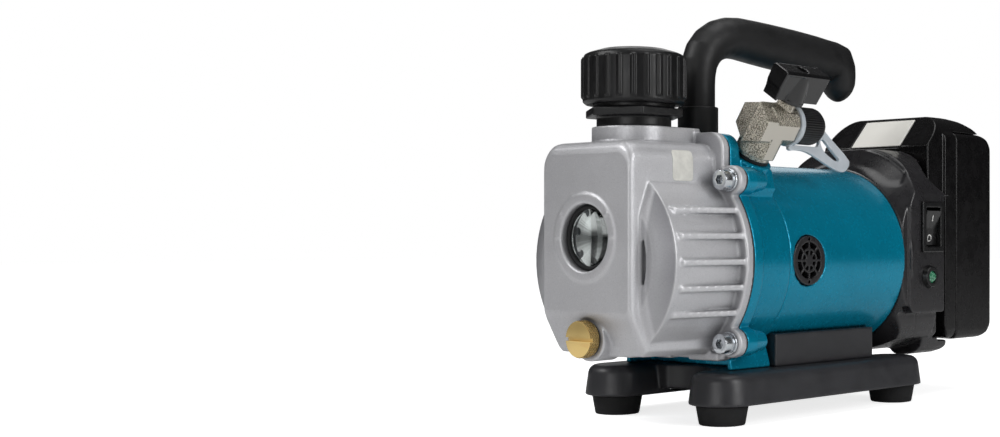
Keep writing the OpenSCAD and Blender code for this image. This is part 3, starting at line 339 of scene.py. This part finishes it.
def turned(name, rgb, centre, rough, rings, anisotropy, metallic, painted_gleam=None, knurl=None):
    """Disc turned about Y through centre: concentric tool marks and radial anisotropy."""
    mat = Mat(name)
    base = lin(rgb)
    shifted = mat.node("Mapping", Location=tuple(-v for v in centre), Vector=mat.place)
    place = mat.split(shifted.outputs["Vector"])
    squares = [mat.math("POWER", mat.math("ABSOLUTE", place[axis]), 2.0) for axis in "XZ"]
    radius = mat.math("SQRT", mat.math("ADD", *squares))
    angle = mat.math("ARCTAN2", place["Z"], place["X"])
    marks = mat.noise(rings, detail=4, rough=0.7,
                      place=mat.node("CombineXYZ", X=radius).outputs[0])
    colour = mat.mix(mat.remap(marks, span=(0.35, 0.65)), shade(base, 0.86), base)
    colour = mat.cover(colour, mat.edges(), 0.4, shade(base, 1.3, lift=0.05))
    normal = mat.bump(marks, strength=0.10, distance=0.00012)

    if painted_gleam:
        # painted reflection: the bow-tie gleam of a lathe-turned face, broken into fine rays,
        # laid into the colour
        fan = mat.math("ABSOLUTE", mat.math("SINE", angle))
        around = mat.node("CombineXYZ", X=mat.times(angle, 5.0)).outputs[0]
        jitter = mat.remap(mat.noise(scale=2.2, detail=3, rough=0.6, place=around),
                           span=(0.3, 0.7), to=(-0.16, 0.16))
        light = mat.remap(mat.math("ADD", fan, jitter), span=(0.16, 0.72), to=(1.0 - painted_gleam, 1.0))
        grey = mat.node("CombineColor", Red=light, Green=light, Blue=light).outputs[0]
        colour = mat.mix(1.0, colour, grey, "MULTIPLY")
        # the painted gleam also glows by emission, though the reflector is no lamp
        mat.set(Emission_Color=colour, Emission_Strength=0.55)

    if knurl:
        # crossed knurl round the rim, outside its root radius
        waves = []
        for way in ("ADD", "SUBTRACT"):
            phase = mat.math(way, mat.times(angle, knurl["turns"]),
                             mat.times(place["Y"], knurl["along"]))
            waves.append(mat.math("ABSOLUTE", mat.math("SINE", phase)))
        height = mat.math("MAXIMUM", *waves)
        rim = mat.remap(radius, span=(knurl["root"], knurl["root"] + 0.0002))
        cut = mat.times(rim, mat.remap(height, span=(0.95, 0.70)))
        normal = mat.bump(mat.math("SUBTRACT", 1.0, cut), strength=0.8, distance=0.0004,
                          under=normal)
        # painted shade in the knurl's grooves
        dark = mat.times(rim, mat.remap(height, span=(0.72, 0.94), to=(0.0, 0.9)))
        colour = mat.mix(dark, colour, shade(base, 0.14))

    tangent = mat.node("Tangent")
    tangent.direction_type = "RADIAL"
    tangent.axis = "Y"
    return mat.set(Base_Color=colour, Normal=normal, Metallic=metallic, Anisotropic=anisotropy,
                   Roughness=mat.remap(marks, span=(0.3, 0.7), to=(rough - 0.05, rough + 0.06)),
                   Tangent=tangent.outputs[0])


def glass():
    """Thin clear pane: lets the light through and mirrors by Fresnel."""
    mat = Mat("sight_glass")
    clear = mat.node("BsdfTransparent", Color=(0.93, 0.955, 0.95, 1))
    mirror = mat.node("BsdfGlossy", Roughness=mat.drift(scale=120, detail=3, to=(0.02, 0.07)),
                      Normal=mat.grain(scale=90, detail=2, strength=0.01, distance=0.0003))
    mixer = mat.node("MixShader", Fac=mat.node("Fresnel", IOR=1.42).outputs[0])
    mat.feed(mixer.inputs[1], clear.outputs[0])
    mat.feed(mixer.inputs[2], mirror.outputs[0])
    mat.fill(mat.tree.nodes["Material Output"], Surface=mixer.outputs[0])
    return mat.material


def strap_clear():
    """Milky flexible plastic."""
    mat = Mat("strap_clear")
    colour = mat.mix(mat.drift(scale=60, detail=3), lin((196, 204, 211)), lin((214, 220, 225)))
    return mat.set(Base_Color=colour, Roughness=mat.drift(scale=260, detail=3, to=(0.3, 0.42)),
                   Normal=mat.grain(scale=380, detail=2, strength=0.06, distance=0.0002),
                   Transmission_Weight=0.25, Subsurface_Weight=0.35, Subsurface_Scale=0.5,
                   Subsurface_Radius=(0.004, 0.004, 0.004), IOR=1.41)


def lamp():
    """Green lens with a cellular pattern, glowing faintly."""
    mat = Mat("lamp_green")
    cells = mat.node("TexVoronoi", Scale=900, Vector=mat.place).outputs["Distance"]
    colour = mat.mix(mat.remap(cells, span=(0.0, 0.7)), lin((160, 225, 190)), lin((20, 120, 86)))
    return mat.set(Base_Color=colour, Normal=mat.bump(cells, strength=0.5, distance=0.0004),
                   Roughness=mat.drift(scale=300, detail=2, to=(0.08, 0.2)),
                   Transmission_Weight=0.45, Coat_Weight=1.0,
                   Emission_Color=lin((30, 150, 100)), Emission_Strength=0.08)


def paint(name, rgb, rough):
    """Printed ink or label stock."""
    mat = Mat(name)
    colour = mat.mix(mat.drift(scale=300, detail=3), lin(rgb), lin(tuple(v * 0.93 for v in rgb)))
    return mat.set(Base_Color=colour,
                   Roughness=mat.drift(scale=500, detail=3, to=(rough - 0.06, rough + 0.06)),
                   Normal=mat.grain(scale=900, detail=2, strength=0.06, distance=0.0001))


# name, sRGB, roughness, grain scale, grain relief, mottle, coat, edge wear, specular
PLASTICS = (
    ("handle_black", (19, 19, 20), 0.50, 2600, 0.16, 0.14, 0, 0.2, 0.38),
    ("base_black", (45, 45, 48), 0.40, 2200, 0.12, 0.14, 0, 0.3, 0.5),
    ("housing_black", (34, 33, 35), 0.29, 3200, 0.14, 0.12, 0.1, 0.3, 0.5),
    ("cap_black", (18, 18, 19), 0.36, 3000, 0.08, 0.12, 0, 0.35, 0.36),
    ("knob_black", (16, 16, 17), 0.20, 1500, 0.04, 0.12, 0.5, 0.3, 0.5),
    ("battery_black", (11, 10, 11), 0.27, 3200, 0.08, 0.12, 0.05, 0.10, 0.32),
    ("button_grey", (240, 238, 231), 0.42, 2800, 0.08, 0.04, 0, 0.3, 0.5),
    ("switch_black", (14, 14, 15), 0.28, 3000, 0.06, 0.12, 0.15, 0.35, 0.5),
    ("rubber_black", (24, 24, 25), 0.72, 2400, 0.2, 0.18, 0, 0.35, 0.35),
    ("gasket_black", (46, 44, 42), 0.8, 2400, 0.2, 0.18, 0, 0.35, 0.35),
    ("carbon", (40, 40, 42), 0.6, 2600, 0.2, 0.12, 0, 0.25, 0.5),
    ("filter_fibre", (214, 208, 188), 0.85, 1400, 0.8, 0.1, 0, 0.25, 0.5),
    ("board_green", (20, 92, 48), 0.35, 1400, 0.1, 0.12, 0, 0.25, 0.5),
    ("cell_wrap", (40, 92, 150), 0.3, 900, 0.05, 0.12, 0, 0.25, 0.5),
)
# name, sRGB, roughness, metallic, grain scale, grain relief, mottle, grain stretch, edge wear
METALS = (
    ("zinc_steel", (206, 210, 214), 0.22, 1.0, 3000, 0.05, 0.06, None, 0.5),
    ("ground_steel", (182, 182, 184), 0.28, 1.0, 2600, 0.06, 0.06, (1, 12, 1), 0.3),
    ("iron", (110, 110, 113), 0.45, 1.0, 1800, 0.15, 0.15, None, 0.3),
    ("magnet", (70, 70, 74), 0.55, 0.6, 1500, 0.2, 0.15, None, 0.3),
    ("copper_winding", (176, 98, 52), 0.35, 0.9, 2200, 0.2, 0.15, (1, 8, 1), 0.3),
)
MATERIALS = {
    "cast_aluminium": cast_aluminium(),
    "teal_paint": teal_paint(),
    "lamp_green": lamp(),
    "nickel": nickel(),
    "brass": turned("brass", (255, 208, 134), DRAIN_CENTRE, rough=0.32, rings=3400,
                    anisotropy=0.35, metallic=0.7,
                    knurl={"root": KNURL_ROOT, "turns": 26.0, "along": 3400.0}),
    "reflector": turned("reflector", (252, 252, 252), SIGHT_CENTRE, rough=0.34, rings=2400,
                        anisotropy=0.4, metallic=0.5, painted_gleam=0.8),
    "glass": glass(),
    "strap_clear": strap_clear(),
}
MATERIALS.update({row[0]: plastic(*row) for row in PLASTICS})
MATERIALS.update({row[0]: metal(*row) for row in METALS})

for node, ob in NODES.items():
    ob.data.materials.clear()
    ob.data.materials.append(MATERIALS[SLOT[node]])


# ------------------------------------------------------------------ sculpting, in mm
def smoothstep(start, end, x):
    t = np.clip((x - start) / (end - start), 0, 1)
    return t * t * (3 - 2 * t)


def dish_hood(points):
    """Shallow dish across the front of the hood, inside a raised rim."""
    x, y, z = points[:, 0] / MM, points[:, 1] / MM, (points[:, 2] - AXIS_Z) / MM
    radius = np.sqrt(x * x + z * z)
    ring = smoothstep(47.0, 50.0, radius) * smoothstep(59.0, 56.0, radius)
    front = smoothstep(76, 71, y)
    upper = smoothstep(35.5, 39.5, z)
    middle = smoothstep(39, 36, np.abs(x))
    depth = 1.5
    out = points.copy()
    out[:, 1] += depth * MM * (ring * front * upper * middle)
    return out


def roof_valve(points):
    """The hexagonal end face falls away on both sides of a fine parting ridge."""
    local = points - np.array(VALVE_ORIGIN)
    side, y, along = (local @ np.array(axis) / MM for axis in (VALVE_SIDE, VALVE_Y, VALVE_AXIS))
    face = y.min()
    roof = face + 0.13 * np.abs(side)
    drop = np.where((y < face + 1.4) & (y < roof), roof - y, 0)
    ridge = 0.28 * np.exp(-(side / 0.45) ** 2) * (y < face + 0.3)
    out = points + np.outer((drop - ridge) * MM, np.array(VALVE_Y))
    # the ridge runs on over the top and bottom of the hexagon
    seam = 0.22 * np.exp(-(side / 0.4) ** 2) * (y < face + 8)
    end = along[y < face + 2]
    off = along - (end.max() + end.min()) / 2
    out += np.outer(seam * np.sign(off) * (np.abs(off) > 7) * MM, np.array(VALVE_AXIS))
    return out


# ------------------------------------------------------------------ skins
SCULPTS = {"rear_housing": dish_hood, "intake_valve_body": roof_valve}

# node, voxel size in mm, smoothing passes, share of faces kept
SKINS = (
    ("oil_case", 0.55 * COARSER, 7, 0.5),
    ("crankcase", 0.6 * COARSER, 6, 0.4),
    ("motor_housing", 0.7 * COARSER, 4, 0.35),
    ("vent_grille", 0.24, 2, 0.6),
    ("motor_foot", 0.6 * COARSER, 3, 0.3),
    ("rear_housing", 0.55 * COARSER, 7, 0.5),
    ("battery_case", 0.65 * COARSER, 5, 0.3),
    ("battery_upper_shell", 0.5 * COARSER, 8, 0.45),
    ("battery_button", 0.35, 5, 0.5),
    ("base_frame", 0.65 * COARSER, 9, 0.4),
    ("rubber_feet", 0.5, 5, 0.5),
    ("handle", 0.65, 14, 0.5),
    ("handle_collar", 0.4, 3, 0.5),
    ("filler_cap", 0.4, 3, 0.6),
    ("filler_adapter", 0.42, 3, 0.5),
    ("intake_valve_body", 0.26, 3, 0.7),
    ("valve_knob", 0.28, 4, 0.6),
    ("port_cap", 0.16, 1, 0.6),
    ("drain_washer", 0.25, 1, 0.7),
    ("valve_seal_washer", 0.25, 1, 0.7),
    ("bolt_washers", 0.25, 1, 0.6),
    ("rocker", 0.2, 2, 0.6),
    ("rocker_bezel", 0.25, 2, 0.6),
    ("lamp_bezel", 0.2, 2, 0.7),
)


def shade_smooth(mesh, smooth=True):
    mesh.polygons.foreach_set("use_smooth", [smooth] * len(mesh.polygons))


def bake(ob):
    """Apply every modifier on ob."""
    graph = bpy.context.evaluated_depsgraph_get()
    mesh = bpy.data.meshes.new_from_object(ob.evaluated_get(graph))
    old = ob.data
    ob.modifiers.clear()
    ob.data = mesh
    bpy.data.meshes.remove(old)


def sculpt(mesh, shape):
    points = np.empty(len(mesh.vertices) * 3, np.float64)
    mesh.vertices.foreach_get("co", points)
    points = shape(points.reshape(-1, 3))
    mesh.vertices.foreach_set("co", points.astype(np.float32).ravel())
    mesh.update()


def skin(node, voxel, passes, kept):
    """A fine remeshed copy of a CAD node with its edges softened, which stands for it."""
    mesh = NODES[node].data.copy()
    bm = bmesh.new()
    bm.from_mesh(mesh)
    bmesh.ops.remove_doubles(bm, verts=bm.verts, dist=WELD_GAP)
    bm.to_mesh(mesh)
    bm.free()
    ob = bpy.data.objects.new(node + "_skin", mesh)
    scene.collection.objects.link(ob)
    remesh = ob.modifiers.new("remesh", "REMESH")
    remesh.mode = "VOXEL"
    remesh.voxel_size = voxel * MM
    remesh.use_smooth_shade = True
    bake(ob)
    if node in SCULPTS:
        sculpt(ob.data, SCULPTS[node])
    smooth = ob.modifiers.new("smooth", "SMOOTH")
    smooth.factor = 0.5
    smooth.iterations = passes
    ob.modifiers.new("decimate", "DECIMATE").ratio = kept
    bake(ob)
    shade_smooth(ob.data)
    ob.data.materials.clear()
    ob.data.materials.append(MATERIALS[SLOT[node]])
    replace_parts(ob, node)
    return ob


for row in SKINS:
    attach(skin(*row), BODY[row[0]])

# The strap's ring sits on the valve and its eye on the cap; here it is skinned whole and its
# transform baked into the mesh, with no body to follow.
strap = skin("cap_strap", voxel=0.28, passes=5, kept=0.7)
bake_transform(strap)

# Carried-over nodes: welded, fine bevel, smooth shading.
skinned = {node for ob in scene.objects for node in ob.get("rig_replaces", [])}
for node, ob in NODES.items():
    if node in skinned:
        continue
    ob.modifiers.new("weld", "WELD").merge_threshold = WELD_GAP
    bevel = ob.modifiers.new("bevel", "BEVEL")
    bevel.width = 0.12 * MM
    bevel.segments = 2
    bevel.limit_method = "ANGLE"
    bevel.angle_limit = math.radians(40)
    shade_smooth(ob.data)
    ob.data.update()


# ------------------------------------------------------------------ added pieces
def new_piece(name, bm, body, material, smooth=True):
    bmesh.ops.recalc_face_normals(bm, faces=bm.faces)
    mesh = bpy.data.meshes.new(name)
    bm.to_mesh(mesh)
    bm.free()
    shade_smooth(mesh, smooth)
    ob = bpy.data.objects.new(name, mesh)
    scene.collection.objects.link(ob)
    ob.data.materials.append(material)
    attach(ob, body)


def bridge(bm, a, b):
    """Join two closed loops of equal count with quads."""
    for i in range(len(a)):
        j = (i + 1) % len(a)
        bm.faces.new((a[i], a[j], b[j], b[i]))


mark_white = paint("mark_white", (225, 225, 222), rough=0.45)
ROCKER_PIVOT = Vector(JOINTS["rocker_tilt"]["pos_m"])
ROCKER_TILT = math.radians(11)
ROCKER_OUT = Vector((math.cos(ROCKER_TILT), 0, -math.sin(ROCKER_TILT)))
ROCKER_UP = Vector((math.sin(ROCKER_TILT), 0, math.cos(ROCKER_TILT)))


def on_rocker(out, y, up):
    """Point in the rocker's own frame: out of its face, across and along it (mm)."""
    return (ROCKER_PIVOT + ROCKER_OUT * (out * MM) + ROCKER_UP * (up * MM)
            + Vector((0, y * MM, 0)))


def mark_i():
    """White bar on the rocker's upper half."""
    half_width, bottom, top = 0.34, 3.5, 6.7
    corners = ((-half_width, bottom), (half_width, bottom), (half_width, top), (-half_width, top))
    bm = bmesh.new()
    inner, outer = [[bm.verts.new(on_rocker(out, y, up)) for y, up in corners]
                    for out in (2.45, 3.0)]
    bridge(bm, inner, outer)
    bm.faces.new(outer)
    bm.faces.new(inner[::-1])
    new_piece("mark_I", bm, "switch_rocker", mark_white, smooth=False)


def mark_o():
    """White ring on the rocker's lower half."""
    centre, count = -5.2, 32
    section = ((2.42, 1.25), (2.42, 1.85), (2.72, 1.85), (2.72, 1.25))    # out, radius
    angles = [2 * math.pi * i / count for i in range(count)]
    bm = bmesh.new()
    rings = [[bm.verts.new(on_rocker(out, r * math.cos(a), centre + r * math.sin(a)))
              for a in angles] for out, r in section]
    for a, b in zip(rings, rings[1:] + rings[:1]):
        bridge(bm, a, b)
    new_piece("mark_O", bm, "switch_rocker", mark_white, smooth=False)


def rounded_outline(half_y, half_z, corner, step):
    """Rounded rectangle about the origin, its sides divided to the step."""
    outline = []
    for sy, sz, start in ((1, 1, 0), (-1, 1, 90), (-1, -1, 180), (1, -1, 270)):
        for i in range(9):
            a = math.radians(start + 11.25 * i)
            outline.append((sy * (half_y - corner) + corner * math.cos(a),
                            sz * (half_z - corner) + corner * math.sin(a)))
    full = []
    for (y0, z0), (y1, z1) in zip(outline, outline[1:] + outline[:1]):
        steps = max(1, int(math.hypot(y1 - y0, z1 - z0) / step))
        full += [(y0 + (y1 - y0) * i / steps, z0 + (z1 - z0) * i / steps) for i in range(steps)]
    return full


def side_label(y0, y1, z0, z1, corner, lift):
    """Blank rounded label laid on the +X side wall of the oil case (mm)."""
    wall = bpy.data.objects["oil_case_skin"].data
    tree = BVHTree.FromPolygons([v.co.copy() for v in wall.vertices],
                                [p.vertices[:] for p in wall.polygons])
    mid_y, mid_z = (y0 + y1) / 2, (z0 + z1) / 2
    outline = rounded_outline((y1 - y0) / 2, (z1 - z0) / 2, corner, step=0.5)
    sunk = -0.12
    bm = bmesh.new()

    def point(y, z, up):
        hit = tree.ray_cast(Vector((0.08, y * MM, z * MM)), Vector((-1, 0, 0)))[0]
        return bm.verts.new(hit + Vector((up * MM, 0, 0)))

    def loop(size, up):
        return [point(mid_y + y * size, mid_z + z * size, up) for y, z in outline]

    top = [loop(1.0, sunk), loop(1.0, lift * 0.6)]
    top += [loop(size, lift) for size in (0.97, 0.9, 0.8, 0.7, 0.6, 0.5, 0.4, 0.3, 0.2, 0.1)]
    top_mid = point(mid_y, mid_z, lift)
    for a, b in zip(top, top[1:]):
        bridge(bm, a, b)
    count = len(outline)
    for i in range(count):
        bm.faces.new((top[-1][i], top[-1][(i + 1) % count], top_mid))
    # closed underneath, inside the casting
    under = [top[0]] + [loop(size, sunk) for size in (0.66, 0.33)]
    for a, b in zip(under, under[1:]):
        bridge(bm, b, a)
    under_mid = point(mid_y, mid_z, sunk)
    for i in range(count):
        bm.faces.new((under_mid, under[-1][(i + 1) % count], under[-1][i]))
    label_white = paint("label_white", (222, 221, 214), rough=0.4)
    new_piece("side_label", bm, "root", label_white)


mark_i()
mark_o()
side_label(y0=-89.3, y1=-77.6, z0=106.3, z1=119.6, corner=1.7, lift=0.22)

# ------------------------------------------------------------------ light, floor, camera
# name, place, target, width, height, power in W
LIGHTS = (
    ("key", (-0.55, -0.95, 1.05), (0, -0.02, 0.09), 0.8, 0.6, 8.6),
    ("top", (0.15, 0.10, 1.25), (0, 0.02, 0.1), 1.1, 0.8, 5.6),
    ("side", (1.25, 0.15, 0.55), (0, 0.03, 0.09), 0.5, 0.9, 8.2),
    ("front_fill", (0.5, -1.3, 0.35), (0, -0.02, 0.09), 0.7, 0.5, 3.4),
    ("rim", (-0.9, 0.9, 0.7), (0, 0.02, 0.1), 0.6, 0.6, 1.2),
)


def area_light(name, place, target, width, height, power):
    light = bpy.data.lights.new(name, "AREA")
    light.shape = "RECTANGLE"
    light.size, light.size_y = width, height
    light.energy = power
    ob = bpy.data.objects.new(name, light)
    ob.location = place
    ob.rotation_euler = (Vector(target) - Vector(place)).to_track_quat("-Z", "Y").to_euler()
    scene.collection.objects.link(ob)


def studio_world():
    """White to the camera, a dim grey gradient to everything else."""
    world = bpy.data.worlds.new("studio")
    scene.world = world
    sky = Nodes(world)
    up = sky.split(sky.node("TexCoord").outputs["Generated"])["Z"]
    ramp = sky.node("ValToRGB", Fac=up)
    low, high = ramp.color_ramp.elements
    low.position, low.color = 0.0, (0.30, 0.30, 0.31, 1)
    high.position, high.color = 0.9, (0.85, 0.85, 0.86, 1)
    dim = sky.fill(sky.tree.nodes["Background"], Color=ramp.outputs["Color"], Strength=0.07)
    white = sky.node("Background", Color=(1, 1, 1, 1), Strength=1.0)
    mixer = sky.node("MixShader", Fac=sky.node("LightPath").outputs["Is Camera Ray"])
    sky.feed(mixer.inputs[1], dim.outputs["Background"])
    sky.feed(mixer.inputs[2], white.outputs["Background"])
    sky.fill(sky.tree.nodes["World Output"], Surface=mixer.outputs["Shader"])


def studio_floor():
    bm = bmesh.new()
    bmesh.ops.create_grid(bm, x_segments=2, y_segments=2, size=4.0)
    mesh = bpy.data.meshes.new("floor")
    bm.to_mesh(mesh)
    bm.free()
    floor = bpy.data.objects.new("floor", mesh)
    scene.collection.objects.link(floor)

    # the floor brightens away from the pump, so that it meets the background without a line
    mat = Mat("floor")
    distance = mat.node("VectorMath")
    distance.operation = "LENGTH"
    mat.feed(distance.inputs[0], mat.place)
    glow = mat.remap(distance.outputs["Value"], span=(0.25, 1.1), to=(0.76, 1.0))
    seen = mat.node("LightPath").outputs["Is Camera Ray"]
    unseen_glow = 0.02
    floor.data.materials.append(mat.set(
        Base_Color=(0.8, 0.8, 0.8, 1), Roughness=0.9, Specular_IOR_Level=0.1,
        Emission_Color=(1, 1, 1, 1),
        Emission_Strength=mat.math("MULTIPLY_ADD", seen, glow, unseen_glow)))


def studio_camera():
    camera = bpy.data.cameras.new("camera")
    camera.lens = 53.64
    camera.sensor_width = 36
    camera.shift_x = -0.265
    camera.shift_y = 0.0185
    camera.clip_start = 0.01
    ob = bpy.data.objects.new("camera", camera)
    ob.location = (0.4755, -0.5445, 0.0822)
    ob.rotation_euler = (math.radians(90), 0, math.radians(40.9))
    scene.collection.objects.link(ob)
    scene.camera = ob


for row in LIGHTS:
    area_light(*row)
studio_world()
studio_floor()
studio_camera()
scene.view_settings.view_transform = "Standard"
scene.view_settings.look = "None"
